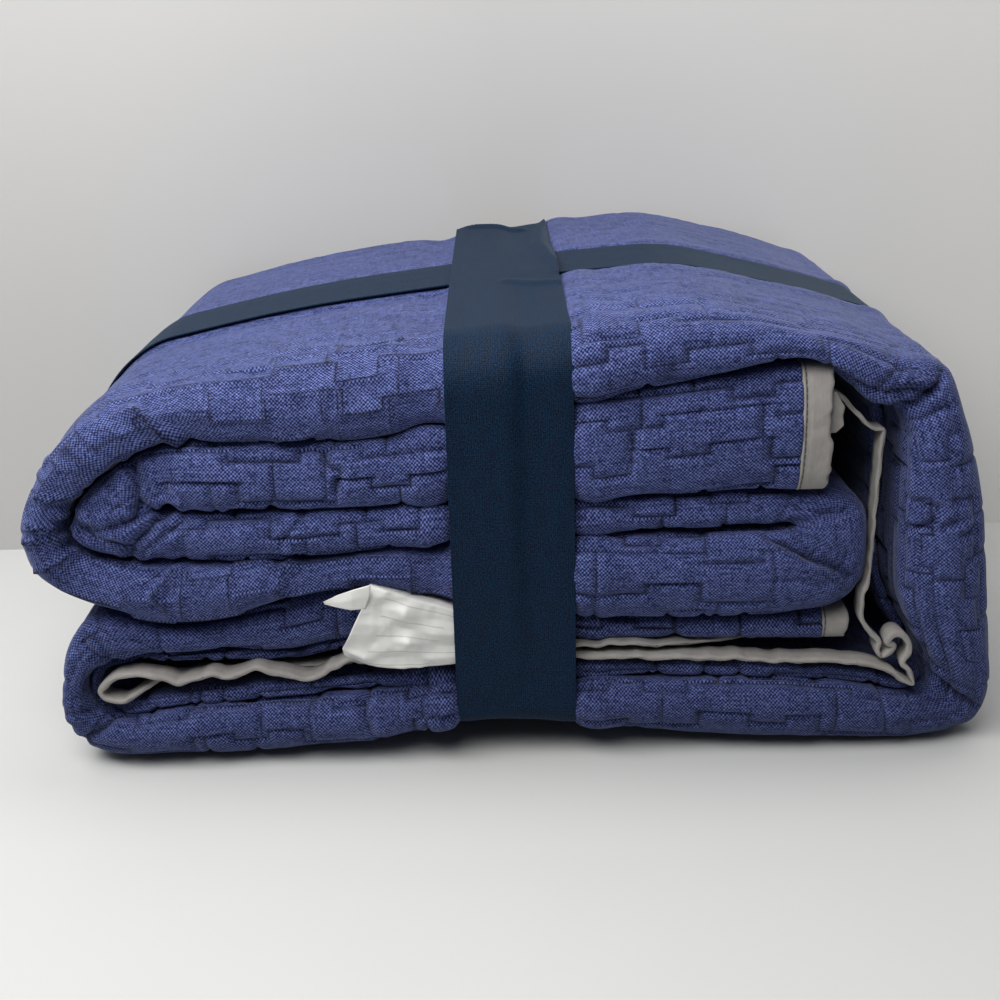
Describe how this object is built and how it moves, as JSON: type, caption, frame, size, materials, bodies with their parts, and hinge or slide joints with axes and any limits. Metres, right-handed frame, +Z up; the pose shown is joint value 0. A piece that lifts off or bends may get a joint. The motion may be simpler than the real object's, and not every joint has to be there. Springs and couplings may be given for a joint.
{
  "type": "folded quilt",
  "caption": "Stitched quilt folded lengthwise to a strip and folded flat into a layered pack, bound in a plain edging and held by wide elastic bands.",
  "frame": {"origin": "on the surface it rests on, below the middle of the pack", "axes": "+X along the pack towards the side with the strip's ends, -Y the front with the rounded folds, +Z up"},
  "size_m": [0.431, 0.2892, 0.2132],
  "materials": {
    "quilt_cloth": "indigo slub weave, machine quilted",
    "binding": "warm grey cotton edging",
    "label_satin": "white satin tape, no words",
    "elastic": "dark woven elastic"
  },
  "bodies": {
    "root": {"quilt": "quilt_cloth", "long_edge_binding": "binding", "end_binding_upper": "binding", "end_binding_lower": "binding", "care_label": "label_satin", "band_upright": "elastic", "band_level": "elastic"}
  },
  "joints": []
}
